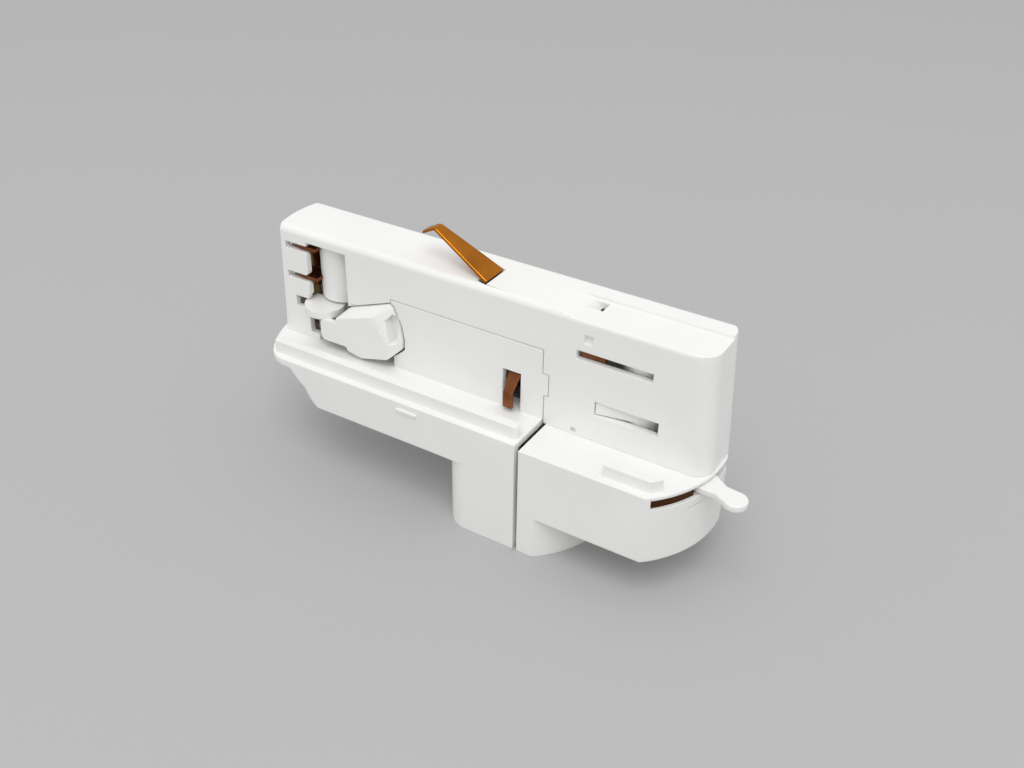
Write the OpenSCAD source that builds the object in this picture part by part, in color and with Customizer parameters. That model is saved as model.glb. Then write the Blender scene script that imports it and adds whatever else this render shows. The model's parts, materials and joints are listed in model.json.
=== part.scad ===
// Three-circuit track light adapter, white moulded case with copper and bronze contacts.
// Origin: mouth of the fixture thread, on its axis. X runs along the track, Z up into it.
// Heights of the head's features are given above the seat, the flange face that meets the track.

/* [Case] */
// Height of the right-hand flange face above the thread mouth
seat_z = 26; // [24:0.5:30]
// Width of both halves of the base
base_w = 36; // [34:0.5:40]
// Wall thickness of the base
base_wall = 1.8; // [1.4:0.1:2.2]
// Gap between the two halves of the base
split_gap = 0.9; // [0.3:0.1:1]
// Hairline gap between mouldings of the head
seam_gap = 0.15; // [0.1:0.05:0.3]

/* [Head] */
// Width of the head that goes into the track
head_w = 14.2; // [13.6:0.1:15]
// Height of the head above the seat
head_h = 27.3; // [26.5:0.1:29]
// Length of the head left of the thread axis
head_left = 69.1; // [68:0.1:70]
// Length of the head right of the thread axis
head_right = 36; // [35:0.1:36.2]
// Wall thickness of the head's sides
wall = 1.5; // [1.2:0.1:1.7]
// Wall thickness of the head's top
top_wall = 1.6; // [1.3:0.1:1.8]
// Radius along the head's top edges
head_edge_r = 1.5; // [0.5:0.1:2.5]
// Plan radius of the head's right-hand corners
head_corner_r = 4; // [1:0.5:5]
// Plan radius of the head's left end
head_end_r = 22; // [15:1:40]
// Lean of the head's left end, degrees
left_draft = 1.7; // [1:0.1:4]
// Lean of the head's right end, degrees
right_draft = 3.2; // [1:0.1:5]
// Start of the lowered part of the top
step_x = 5.4; // [3:0.1:7]
// Depth of the lowered part of the top
top_step = 0.7; // [0.4:0.1:1.4]
// Near face of the ridge left standing beside it
ridge_y = 2.3; // [2:0.1:4]
// Height of the seam between cover and left base walls
seam_h = 17.3; // [16.8:0.1:18]

/* [Left base] */
// Step of the left flange above the seat
left_flange_step = 0.9; // [0.4:0.1:1.2]
// Depth of the left base below the seat
left_depth = 8.8; // [8.5:0.1:12]
// Length of the left base
left_len = 70.1; // [70:0.1:74]
// Plan radius of the left base's end
left_end_r = 25.5; // [24:0.5:30]
// Thickness of the flange plate
flange_t = 1.6; // [1.2:0.1:2]
// Height of the rib along the flange
rib_h = 3; // [1:0.1:4]
// Thickness of the rib
rib_t = 2.2; // [1.5:0.1:3]
// Ledge outside the rib
rib_ledge = 1.6; // [1:0.1:2.5]
// Length of the rib
rib_len = 62.7; // [50:0.1:63]

/* [Right base] */
// Depth of the right base below the seat
right_depth = 15.9; // [15:0.1:18]
// Length of the right base
right_len = 36.5; // [36:0.1:38]
// Plan radius of the right base's end
right_end_r = 24; // [23:0.5:28]
// Where the rounded end turns into the straight far side, across the base
right_turn_y = 3; // [2.5:0.1:4]
// Height of the blocks on the right flange
block_h = 2.7; // [1:0.1:4]
// Length of the blocks on the right flange
block_len = 13; // [6:0.5:14]

/* [Boss and thread] */
// Length of the boss left of the thread axis
boss_left = 18; // [16:0.1:20]
// Length of the boss right of the thread axis
boss_right = 12.8; // [12:0.1:13.5]
// Plan radius of the boss's right end
boss_right_r = 23.4; // [22:0.1:26]
// Plan radius of the boss's left-hand corners
boss_left_r = 5.5; // [3:0.5:6]
// Thickness of the boss floor
boss_floor = 4; // [3:0.5:6]
// Wall radius of the M10 x 1 fixture thread
thread_r = 4.46; // [4.4:0.02:4.5]
// Length of the thread bush
bush_len = 12; // [9:0.5:13]
// Outside radius of the thread bush
bush_r = 6; // [5.5:0.1:6.5]

/* [Turning parts] */
// Place of the lock rotor's axis
lock_x = 19.4; // [19:0.1:19.8]
// Place of the phase rotor's axis
phase_x = -55.5; // [-56:0.1:-55]
// Gap between the drums and the head's inner wall
drum_gap = 0.3; // [0.2:0.05:0.6]
// Radius of the rotor shafts
shaft_r = 2; // [1.6:0.1:2]
// Running clearance of shafts and pins
run_gap = 0.05; // [0.02:0.01:0.08]
// Turn of the lever from open to locked, degrees
travel = 80; // [60:1:80]
// Direction of the lever when open, degrees
lever_angle = -18; // [-20:1:-10]
// Reach of the lever from its axis
lever_reach = 26.5; // [24:0.5:30]
// Width of the lever
lever_w = 5.8; // [4:0.1:6]
// Thickness of the lever
lever_t = 1.6; // [1.2:0.1:1.7]
// Free space above and below the lever
lever_gap = 0.3; // [0.2:0.05:0.5]
// Thickness of the flange over the lever
lever_cover_t = 0.8; // [0.6:0.1:0.9]
// Reach of the lock wings
wing_reach = 9; // [8:0.1:9.2]
// Height of the lock wings above the seat
wing_h = 7.85; // [7:0.1:9]
// Thickness of the lock wings
wing_t = 2.5; // [2:0.1:2.6]
// Height of the neutral blade above the seat
neutral_h = 18.9; // [17:0.1:19]
// Length of the neutral blade
neutral_len = 12.3; // [10:0.1:12.5]
// Height of the upper phase contact above the seat
upper_h = 22.85; // [22:0.1:23]
// Height of the lower phase contact above the seat
lower_h = 15.7; // [15:0.1:16.5]
// Height of the far phase contact above the seat
far_h = 19; // [18:0.1:20]
// Reach of the phase contacts
phase_reach = 9.2; // [8:0.1:9.5]
// Thickness of the contact metal
metal_t = 0.8; // [0.5:0.1:0.9]
// Gap between contacts and the edges of their slots
slot_gap = 0.4; // [0.3:0.05:0.5]

/* [Side catch] */
// Place of the catch pin along the adapter
catch_x = -57.2; // [-57.4:0.1:-57]
// Distance of the catch pin from the middle plane
catch_y = 5.6; // [5.4:0.1:5.8]
// Radius of the catch's hub disc
catch_r = 4.6; // [4.2:0.1:4.8]
// Underside of the hub disc above the seat
catch_h = 8.4; // [8.2:0.1:8.6]
// Thickness of the hub disc
catch_t = 1.9; // [1.5:0.1:2]
// How far the catch stands out of the head
catch_out = 2.4; // [1.5:0.1:2.6]
// Gap round the catch
catch_gap = 0.5; // [0.4:0.1:0.8]

/* [Earth leaves] */
// Place of the top leaf's bend
top_leaf_x = -15.3; // [-16:0.1:-15]
// Length of the top leaf
top_leaf_len = 15.4; // [14:0.1:16]
// Slope of the top leaf, degrees
top_leaf_angle = 28.4; // [26:0.1:30]
// Root width of the top leaf
top_leaf_w = 6.8; // [6:0.1:8]
// Tip width of the top leaf
top_leaf_tip_w = 2.7; // [2:0.1:4]
// Place of the side leaf
side_leaf_x = -7.8; // [-9:0.1:-7]
// Width of the side leaf
side_leaf_w = 3; // [2:0.1:3.2]
// Thickness of both leaves
leaf_t = 0.6; // [0.4:0.05:0.7]

/* [Selector] */
// Place of the phase selector along the adapter
selector_x = -53.5; // [-53.7:0.1:-53.3]
// Radius of the phase selector's dial
selector_r = 5; // [4.5:0.1:5.1]

/* [Hidden] */
$fn = 64;

// Overshoot that keeps cuts clean
eps = 0.2;
// Reach of cuts that go right through
far = 200;

// Levels
head_top_z = seat_z + head_h;
left_flange_z = seat_z + left_flange_step;
left_bottom_z = seat_z - left_depth;
right_bottom_z = seat_z - right_depth;
left_floor_z = left_bottom_z + base_wall;
right_floor_z = right_bottom_z + base_wall;
left_roof_z = left_flange_z - flange_t;
right_roof_z = seat_z - lever_cover_t;
head_roof_left_z = head_top_z - top_wall;
head_roof_right_z = head_top_z - top_step - top_wall;
seam_z = seat_z + seam_h;

// Half widths
half_w = base_w / 2;
inner_half_w = half_w - base_wall;
head_half = head_w / 2;
head_inner = head_half - wall;
near_cut_y = [-head_half - eps, -head_inner + eps];
far_cut_y = [head_inner - eps, head_half + eps];

// Ends
left_end_x = -left_len + left_end_r;
right_end_x = right_len - right_end_r;
split = split_gap / 2;
seam_x = -0.7;
seam_tab = 1.4;
seam_tab_z = [seat_z + 6.8, seat_z + 11.8];
seam_foot_x = -0.3;
wall_start_x = catch_x + 19.4;
ramp_x = -1;

// Profile of the left base's end: inset from its radius and share of its depth
dish = [[2.7, 0], [3.7, 0.25], [4.5, 0.41], [5.3, 0.55], [5.6, 0.7], [6, 0.84], [6.4, 1]];
left_corner_r = 6;
left_ledge = 1;
tub_end_r = inner_half_w - 0.6;
rib_start = -1;
rib_round = 0.45 * rib_t;
link_slot_x = phase_x + 8;
link_slot_y = -head_inner + 2.6;
wire_slot_x = [3, 13];
wire_slot_y = [-3, 3];
side_bar_x = [-29.3, -24.2];
side_bar_z = [seat_z - 1.4, seat_z - 0.6];
side_bar_proud = 0.4;
block_start = lock_x - 1.1;
block_inset = 1.8;
block_t = 2.1;
block_end_inset = 1.4;
boss_end_x = boss_right - boss_right_r;
right_turn = [right_end_x + sqrt(pow(right_end_r, 2) - pow(right_turn_y, 2)), right_turn_y];
right_far = [right_end_x + sqrt(pow(right_end_r, 2) - pow(half_w, 2)), half_w];

// Turning parts
drum_r = head_inner - drum_gap;
shaft_hole_r = shaft_r + run_gap;
crank_inset = 1.5;
crank_r = drum_r - crank_inset;
crank_angle = 50;
crank = crank_r * [cos(crank_angle), sin(crank_angle)];
pin_r = 0.8;
eye_r = 1.4;
wiper_gap = 0.7;
link_gap = 0.5;
link_t = 1.5;
link_z = [left_flange_z + link_gap, left_flange_z + link_gap + link_t];
link_half_w = 0.6;
crank_gap = 0.3;
drum_end_gap = 0.5;
catch_over_gap = 0.7;
phase_drum_z = [seat_z + catch_h + catch_t + catch_over_gap, head_roof_left_z - drum_end_gap];
lock_drum_z = [link_z[1] + drum_end_gap, head_roof_right_z - drum_end_gap];
top_pin_len = 1.3;
top_pin_gap = 0.2;
top_pin_room = top_pin_len + top_pin_gap;
shaft_len = 10;
foot_z = seat_z - shaft_len;
foot_pin_r = shaft_r - 0.4;
pillar_r = 4;
lever_z = [right_roof_z - lever_gap - lever_t, right_roof_z - lever_gap];
lever_slot_z = [lever_z[0] - lever_gap, right_roof_z];
lever_hub_r = 6.5;
lever_tip_r = 2.5;
lever_bulb = 6;
lever_taper = 3.5;
lever_neck_r = lever_reach - lever_bulb;
lever_neck_w = 3.6;
lever_slot_from = -60.4;
lever_slot_margin = 13;
lever_slot_to = lever_angle + travel + lever_slot_margin;
slit_angle = [-25, -16];
slit_drop = 2.2;
slit_h = 0.3;
slit_d = 0.5;
wing_locked = 270;
wing_rest = wing_locked - travel;
wing_proud = 0.05;
wing_band = [1, drum_r + wing_proud];
wing_tip_r = norm([wing_reach, wing_band[1]]);
wing_low = seat_z + wing_h - wing_t / 2;
blade_y = 4.2;
blade_h = 1.4;
blade_root = 3;
blade_kink = 7;
blade_out = 1.8;

// Phase contacts
tongue_r = 2.2;
tongue_y = 4.2;
tongue_root = 2.8;
tongue_x = phase_reach - tongue_r;
leg_gap = 0.2;
leg_x = drum_r + leg_gap;
leg_y = [-3.2, 0];
upper_leg = 6;
lower_leg = 3.4;
window_low_h = 11.6;
window_high_h = 24.6;
window_left = 4.7;
window_right = 6;
slot_left = 10.5;
tooth_r = 0.9;

// Catch outline points: distance from the pin along X and height above the seat
catch_front = [
    [5.8, 9.7], [15.8, 13], [19.6, 7.6], [19.4, 3.64], [12.3, 1.7], [8.6, 2.4]
];
catch_back = [
    [8.1, 12], [18.9, 16.2], [19.9, 15.7], [21.6, 11.6], [22.2, 8.5], [22, 6.1], [19.5, 4],
    [12.3, 1.9], [8.6, 2.4]
];
catch_mid = [14, 8.5];
catch_inside = 1.9;
catch_skin = 0.2;
catch_plate = [1.4, 9];
catch_plate_low = 3.3;
catch_plate_t = 1.2;
catch_plate_r = 1.3;
catch_trim = 2.4;
catch_hub_r = 1.2;
catch_hub_low = 2.9;
catch_pin_r = 0.6;
catch_cap = 0.6;
catch_front_y = -head_half - catch_out;
coil_r = 1.6;
coil_wire_r = 0.22;
coil_turns = 5;
coil_sides = 8;
coil_steps = 14;
coil_pitch = 2.4 * coil_wire_r;
coil_lift = 1;
catch_pocket = [
    [20, 14.2], [18.6, 12.6], [19.1, 10.9], [20, 7.6], [21, 7.4], [21.5, 10.4], [20.9, 13.7]
];
catch_pocket_d = 3.3;

// Earth leaves
top_leaf_mid_y = -2.05;
top_leaf_root_y = -2;
top_leaf_lip = 3.1;
top_leaf_lip_angle = -28;
top_leaf_lip_r = 0.7;
top_leaf_steps = 8;
top_leaf_lap = 0.3;
top_leaf_sink = 0.2;
top_leaf_z = head_top_z - top_leaf_sink;
top_slot_len = 1.8;
top_slot_taper = 0.3;
side_leaf_top = [-head_inner + 0.1, seat_z + 9.2];
side_leaf_nose = [-head_half - 1.5, seat_z + 5.5];
side_leaf_end = [-head_half - 1.6, seat_z + 1.9];
side_leaf_tip_w = 2.2;
side_window_w = side_leaf_w + 1.25;
side_window_top = 10;
leaf_gap = 0.4;

// Bronze strips
bus_w = 2.4;
bus_root_w = 6;
bus_back_gap = 2.6;
neutral_wiper_w = 2.6;
neutral_wiper_over = 2;
phase_wiper_y = -1.4;
phase_wiper_w = 2.7;
phase_wiper_gap = 0.5;
phase_wiper_over = 0.9;
wiper_foot = 3;
spring_skin = 0.8;
spring_side = 0.4;
spring_drop = 2;
spring_to = -21;
spring_end_gap = 0.2;
spring_r = right_end_r - spring_skin;
spring_from = -asin((half_w - spring_skin - spring_side) / spring_r);
spring_z = [lever_slot_z[0] - spring_drop, right_roof_z];

// Selector
selector_top_gap = 1.5;

// Fasteners
screw_r = 1.1;
screw_head_r = 2.1;
screw_head_h = 1.6;
screw_slot_w = 0.6;
screw_slot_d = 0.7;
screw_post_r = 1.7;
screw_seat_r = 2.6;
screw_len = 18;
case_screw_at = [[-28, -1.9], [-43.2, -1.2]];
clamp_y = 12.5;
clamp_z = 6.4;
clamp_len = 15;
clamp_seat_x = -8;
clamp_clear = 0.3;
post_wall = 1;

// Terminals
terminal_l = 4.6;
terminal_gap = 0.3;
terminal_start = lock_x + pillar_r + terminal_gap;
terminal_x = [terminal_start, terminal_start + terminal_l];
terminal_w = 20;
terminal_h = 9.5;
terminal_count = 4;
terminal_pitch = terminal_w / terminal_count;
terminal_mid_x = (terminal_x[0] + terminal_x[1]) / 2;
cage_w = 3.4;
cage_h = 5;
cage_floor = 1;
cage_z = [right_floor_z + cage_floor, right_floor_z + cage_floor + cage_h];
cage_bite = 2;
terminal_head_gap = 0.1;
terminal_sink = 0.3;
wire_r = 1.2;

// Colours
white = [0.95, 0.95, 0.94];
copper = [0.55, 0.33, 0.2];
bronze = [0.62, 0.43, 0.13];
steel = [0.72, 0.73, 0.75];
brass = [0.78, 0.62, 0.3];
pale_grey = [0.87, 0.87, 0.85];

// Helpers

// A box between two corners, given as ranges along each axis
module slab(x, y, z) {
    translate([x[0], y[0], z[0]])
        cube([x[1] - x[0], y[1] - y[0], z[1] - z[0]]);
}

// An upright cylinder at a point
module post(at, r, z) {
    translate([at[0], at[1], z[0]])
        cylinder(h = z[1] - z[0], r = r);
}

// An upright prism over a flat outline
module upright(z) {
    translate([0, 0, z[0]])
        linear_extrude(z[1] - z[0])
            children();
}

// An XZ outline drawn out between two Y planes
module across(y) {
    translate([0, y[1], 0])
        rotate([90, 0, 0])
            linear_extrude(y[1] - y[0])
                children();
}

// A YZ outline drawn out between two X planes
module along(x) {
    translate([x[0], 0, 0])
        rotate([90, 0, 90])
            linear_extrude(x[1] - x[0])
                children();
}

// A flat rectangle
module flat(x, y) {
    translate([x[0], y[0]])
        square([x[1] - x[0], y[1] - y[0]]);
}

// A flat rectangle with rounded corners
module rounded(x, y, r) {
    flat([x[0] + r, x[1] - r], y);
    flat(x, [y[0] + r, y[1] - r]);
    for (cx = [x[0] + r, x[1] - r])
        for (cy = [y[0] + r, y[1] - r])
            translate([cx, cy])
                circle(r);
}

// Turns children about one of the rotor axes
module about(x, angle) {
    translate([x, 0, 0])
        rotate([0, 0, angle])
            children();
}

// Moves outline points away from a middle point
function grow(points, middle, by) =
    [for (p = points) p + by * (p - middle) / norm(p - middle)];

// Outline points of the catch, placed in the XZ plane
function at_catch(points) = [for (p = points) [catch_x + p[0], seat_z + p[1]]];

// Head

// Outside of the head, ends leaning inwards
module head_shape() {
    intersection() {
        slab([-far, far], [-far, far], [seat_z, head_top_z]);
        along([-far, far])
            rounded([-head_half, head_half], [seat_z - 2 * head_edge_r, head_top_z], head_edge_r);
        translate([head_right, 0, seat_z])
            rotate([0, -right_draft, 0])
                upright([-head_h, 2 * head_h])
                    rounded([-far, 0], [-head_half, head_half], head_corner_r);
        union() {
            translate([-head_left, 0, seat_z])
                rotate([0, left_draft, 0])
                    translate([head_end_r, 0, -far / 2])
                        cylinder(h = far, r = head_end_r);
            slab([-head_left + head_end_r, far], [-far, far], [0, far]);
        }
    }
}

// What is taken off the top beside the ridge: a slope, then a level part
module top_cut() {
    low_z = head_top_z - top_step;
    across([-far, ridge_y])
        polygon([[ramp_x, head_top_z], [step_x, low_z], [far, low_z], [far, far], [ramp_x, far]]);
}

// Hollow of the head: the part left of the step is taller
module head_hollow() {
    left_lean = tan(left_draft) * head_h + head_end_r - sqrt(pow(head_end_r, 2) - pow(head_half, 2));
    right_lean = tan(right_draft) * head_h;
    inside = [-head_inner, head_inner];
    slab([-head_left + left_lean + wall, step_x - top_wall], inside, [seat_z - eps, head_roof_left_z]);
    slab(
        [step_x - top_wall - eps, head_right - right_lean - wall], inside,
        [seat_z - eps, head_roof_right_z]
    );
}

// Side walls of the head that belong to the left base, grown by a gap
module left_wall_outline(gap) {
    polygon([
        [wall_start_x - gap, left_flange_z - eps], [wall_start_x - gap, seam_z + gap],
        [seam_x + gap, seam_z + gap], [seam_x + gap, seam_tab_z[1] + gap],
        [seam_x + seam_tab + gap, seam_tab_z[1] + gap],
        [seam_x + seam_tab + gap, seam_tab_z[0] - gap],
        [seam_foot_x + gap, seam_tab_z[0] - gap], [seam_foot_x + gap, left_flange_z - eps]
    ]);
}

// Opening in the near wall for the catch
module catch_opening() {
    hub_room = 2.3;
    disc_room = 2.5;
    across(near_cut_y)
        polygon(at_catch(grow(catch_back, catch_mid, catch_gap)));
    slab(
        [catch_x - catch_hub_r, catch_x + catch_plate[1]], near_cut_y,
        [left_flange_z, seat_z + window_low_h + eps]
    );
    slab(
        [catch_x, catch_x + catch_back[6][0]], near_cut_y,
        [left_flange_z, seat_z + catch_back[6][1]]
    );
    slab(
        [catch_x - catch_hub_r - hub_room, catch_x], near_cut_y,
        [seat_z + catch_hub_low - catch_gap, seat_z + window_low_h + eps]
    );
    slab(
        [catch_x - catch_r - disc_room, catch_x], near_cut_y,
        [seat_z + catch_h - slot_gap, seat_z + catch_h + catch_t + slot_gap]
    );
}

// Rounds a corner of a comb tooth that stands left of the window, above or below a slot
module tooth_round(z, side) {
    r = tooth_r;
    across(near_cut_y)
        translate([phase_x - window_left, z])
            difference() {
                flat([-r, eps], [min(side * r, -side * eps), max(side * r, -side * eps)]);
                translate([-r, side * r])
                    circle(r);
            }
}

// Window for the phase drum and the comb of slots for the phase contacts
module phase_openings() {
    slot_half = metal_t / 2 + slot_gap;
    slab(
        [phase_x - window_left, phase_x + window_right], near_cut_y,
        [seat_z + window_low_h, seat_z + window_high_h]
    );
    for (h = [upper_h, lower_h])
        slab(
            [phase_x - slot_left, phase_x], near_cut_y,
            [seat_z + h - slot_half, seat_z + h + slot_half]
        );
    tooth_round(seat_z + upper_h - slot_half, -1);
    tooth_round(seat_z + lower_h + slot_half, 1);
    tooth_round(seat_z + lower_h - slot_half, -1);
    slab(
        [phase_x - window_right, phase_x + slot_left], far_cut_y,
        [seat_z + far_h - slot_half, seat_z + far_h + slot_half]
    );
}

// Slots for the lock wings and the neutral blade
module lock_openings() {
    rib_gap = 0.3;
    wing_short = 0.8;
    blade_short = 0.6;
    wing_slot = [-wing_reach + wing_short, drum_r + rib_gap];
    wing_z = [wing_low - rib_gap, wing_low + wing_t + rib_gap];
    blade_z = seat_z + neutral_h;
    slab([lock_x + wing_slot[0], lock_x + wing_slot[1]], near_cut_y, wing_z);
    slab([lock_x - wing_slot[1], lock_x - wing_slot[0]], far_cut_y, wing_z);
    slab(
        [lock_x - neutral_len - slot_gap, lock_x + blade_y - blade_short], near_cut_y,
        [blade_z - blade_h / 2 - rib_gap, blade_z + blade_h / 2 + rib_gap]
    );
}

// Slot in the top for the earth leaf, and the small hole beside the ridge
module top_openings() {
    hole_x = [step_x + 0.3, step_x + 3.6];
    hole_y = [-1.6, 1.6];
    hole_slope = 2;
    hole_z = [head_roof_right_z - eps, head_top_z - top_step];
    root = top_leaf_w / 2 + slot_gap;
    end = root - top_slot_taper;
    upright([head_roof_left_z - eps, far])
        translate([top_leaf_x, top_leaf_root_y])
            polygon([
                [slot_gap, -root], [slot_gap, root], [-top_slot_len, end], [-top_slot_len, -end]
            ]);
    across(hole_y)
        polygon([
            [hole_x[0], far], [hole_x[0], hole_z[1]], [hole_x[0] + hole_slope, hole_z[0]],
            [hole_x[1], hole_z[0]], [hole_x[1], far]
        ]);
}

// Square moulding marks in the near face
module face_marks() {
    depth = 0.8;
    mark_y = [-far, -head_half + depth];
    upper_x = [lock_x - 11.2, lock_x - 9.4];
    upper_z = [seat_z + 21.8, seat_z + 23.7];
    lower_x = [lock_x - 13.2, lock_x - 12.1];
    lower_z = [seat_z + 0.4, seat_z + 1.5];
    slab(upper_x, mark_y, upper_z);
    slab(lower_x, mark_y, lower_z);
}

module upper_cover() {
    color(white)
        difference() {
            union() {
                difference() {
                    head_shape();
                    top_cut();
                    head_hollow();
                }
                for (at = case_screw_at)
                    post(at, screw_post_r, [left_flange_z, head_roof_left_z + eps]);
            }
            slab([-far, seam_foot_x + seam_gap], [-far, far], [0, left_flange_z]);
            across([-far, -head_inner + eps])
                left_wall_outline(seam_gap);
            across([head_inner - eps, far])
                left_wall_outline(seam_gap);
            catch_opening();
            phase_openings();
            lock_openings();
            top_openings();
            face_marks();
            post([lock_x, 0], shaft_hole_r, [lock_drum_z[1], lock_drum_z[1] + top_pin_room]);
            post([phase_x, 0], shaft_hole_r, [phase_drum_z[1], phase_drum_z[1] + top_pin_room]);
            for (at = case_screw_at)
                post(at, screw_r, [left_flange_z - eps, left_flange_z + screw_len]);
        }
}

// Base

// Rods along X at the places of both clamp screws
module clamp_bars(x, r) {
    for (side = [-1, 1])
        translate([x[0], side * clamp_y, clamp_z])
            rotate([0, 90, 0])
                cylinder(h = x[1] - x[0], r = r);
}

// Plan of the left half
module left_plan() {
    corner_y = half_w - left_corner_r;
    corner_x = left_end_x - sqrt(pow(left_end_r - left_corner_r, 2) - pow(corner_y, 2));
    spread = corner_y / (left_end_x - corner_x);
    flat([corner_x, -split], [-half_w, half_w]);
    for (y = [-corner_y, corner_y])
        translate([corner_x, y])
            circle(left_corner_r);
    intersection() {
        translate([left_end_x, 0])
            circle(left_end_r);
        polygon([
            [left_end_x, 0], [left_end_x - far, -far * spread], [left_end_x - far, far * spread]
        ]);
    }
}

// Left base below its ledge: the end tapers as a dish
module left_lower() {
    z = left_flange_z - left_ledge;
    depth = z - left_bottom_z;
    intersection() {
        union() {
            translate([left_end_x, 0, z])
                rotate_extrude()
                    polygon(concat(
                        [[0, -depth], [0, 0]],
                        [for (d = dish) [left_end_r - d[0], -d[1] * depth]]
                    ));
            slab([left_end_x, -split], [-half_w, half_w], [left_bottom_z, z]);
        }
        upright([left_bottom_z, z])
            left_plan();
    }
}

// Ribs along both edges of the left flange, with rounded ends
module flange_ribs() {
    middle = half_w - rib_ledge - rib_t / 2;
    for (y = [-middle, middle])
        upright([left_flange_z - eps, left_flange_z + rib_h])
            rounded(
                [rib_start - rib_len, rib_start], [y - rib_t / 2, y + rib_t / 2],
                rib_round
            );
}

module left_base() {
    color(white)
        difference() {
            union() {
                upright([left_roof_z, left_flange_z])
                    left_plan();
                left_lower();
                upright([0, left_bottom_z + eps])
                    intersection() {
                        rounded([-boss_left, boss_left], [-half_w, half_w], boss_left_r);
                        flat([-far, -split], [-half_w, half_w]);
                    }
                flange_ribs();
                for (y = [[-head_half, -head_inner], [head_inner, head_half]])
                    across(y)
                        left_wall_outline(0);
                slab(side_bar_x, [-half_w - side_bar_proud, -half_w + eps], side_bar_z);
            }
            difference() {
                union() {
                    post([left_end_x, 0], tub_end_r, [left_floor_z, left_roof_z]);
                    slab([left_end_x, eps], [-inner_half_w, inner_half_w], [left_floor_z, left_roof_z]);
                    upright([boss_floor, left_floor_z + eps])
                        intersection() {
                            rounded(
                                [-boss_left + base_wall, boss_left], [-inner_half_w, inner_half_w],
                                boss_left_r - base_wall
                            );
                            flat([-far, eps], [-half_w, half_w]);
                        }
                }
                for (at = case_screw_at)
                    post(at, screw_seat_r + post_wall, [0, far]);
                clamp_bars([-boss_left, 0], screw_seat_r + post_wall);
            }
            slab([link_slot_x, eps], [link_slot_y, head_inner], [left_roof_z - eps, far]);
            catch_opening();
            slab(
                [side_leaf_x - side_window_w / 2, side_leaf_x + side_window_w / 2], near_cut_y,
                [left_flange_z, seat_z + side_window_top]
            );
            post([phase_x, 0], foot_pin_r + run_gap, [left_roof_z - eps, left_flange_z + eps]);
            post([catch_x, -catch_y], catch_pin_r, [left_roof_z - eps, left_flange_z + eps]);
            post([selector_x, 0], selector_r + run_gap, [0, left_floor_z + eps]);
            post([0, 0], bush_r, [-eps, boss_floor + eps]);
            for (at = case_screw_at) {
                post(at, screw_r + clamp_clear, [0, far]);
                post(at, screw_seat_r, [0, left_floor_z + screw_head_h]);
            }
            clamp_bars([-boss_left, eps], screw_r + clamp_clear);
            clamp_bars([-far, clamp_seat_x], screw_seat_r);
        }
}

// What the straight far side takes off the right end, moved inwards by an inset
module far_side(inset) {
    run = (right_far - right_turn) / norm(right_far - right_turn);
    out = [run[1], -run[0]];
    start = right_turn - inset * out;
    polygon([
        start - far * run, start + far * run, start + far * (run + out), start + far * (out - run)
    ]);
}

// Plan of the right half, its outside moved inwards by an inset
module right_plan(inset) {
    half = half_w - inset;
    difference() {
        intersection() {
            union() {
                translate([right_end_x, 0])
                    circle(right_end_r - inset);
                flat([-split, right_end_x], [-half, half]);
            }
            flat([split, far], [-half, half]);
        }
        far_side(inset);
    }
}

// Plan of the right half of the boss
module right_boss_plan(r, half) {
    intersection() {
        translate([boss_end_x, 0])
            circle(r);
        flat([split, far], [-half, half]);
    }
}

// Blocks on the right flange, cut off along the end of the base
module flange_blocks() {
    middle = half_w - block_inset - block_t / 2;
    intersection() {
        for (y = [-middle, middle])
            slab(
                [block_start, block_start + block_len], [y - block_t / 2, y + block_t / 2],
                [seat_z - eps, seat_z + block_h]
            );
        upright([0, far])
            right_plan(block_end_inset);
    }
}

// Sector that the lever turns through
module lever_sector() {
    steps = 6;
    upright(lever_slot_z)
        translate([lock_x, 0])
            polygon(concat(
                [[0, 0]],
                [for (i = [0:steps])
                    let (a = lever_slot_from + (lever_slot_to - lever_slot_from) * i / steps)
                        2 * lever_reach * [cos(a), sin(a)]]
            ));
}

// Thin slit in the end wall below the lever's slot
module end_slit() {
    translate([right_end_x, 0, lever_slot_z[0] - slit_drop])
        rotate([0, 0, slit_angle[0]])
            rotate_extrude(angle = slit_angle[1] - slit_angle[0])
                flat([right_end_r - slit_d, right_end_r + eps], [-slit_h / 2, slit_h / 2]);
}

module right_base() {
    color(white)
        difference() {
            union() {
                upright([right_bottom_z, seat_z])
                    right_plan(0);
                upright([0, right_bottom_z + eps])
                    right_boss_plan(boss_right_r, half_w);
                flange_blocks();
            }
            difference() {
                union() {
                    upright([right_floor_z, right_roof_z])
                        right_plan(base_wall);
                    upright([boss_floor, right_floor_z + eps])
                        right_boss_plan(boss_right_r - base_wall, inner_half_w);
                    slab([-eps, split + eps], [-inner_half_w, inner_half_w], [boss_floor, right_roof_z]);
                }
                post([lock_x, 0], pillar_r, [0, lever_z[0] - lever_gap]);
                clamp_bars([0, clamp_seat_x + clamp_len + post_wall], screw_seat_r);
            }
            lever_sector();
            end_slit();
            spring_shape(spring_end_gap);
            slab(wire_slot_x, wire_slot_y, [right_roof_z - eps, far]);
            post([lock_x, 0], shaft_hole_r, [foot_z - eps, far]);
            post([0, 0], bush_r, [-eps, boss_floor + eps]);
            clamp_bars([0, clamp_seat_x + clamp_len], screw_r);
        }
}

// Fixed hardware

module thread_bush() {
    flange_h = 3.5;
    flange_r = bush_r + 2;
    color(steel)
        difference() {
            union() {
                post([0, 0], bush_r, [0, bush_len]);
                translate([0, 0, boss_floor])
                    cylinder(h = flange_h, r = flange_r, $fn = 6);
            }
            post([0, 0], thread_r, [-eps, bush_len + eps]);
        }
}

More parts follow.
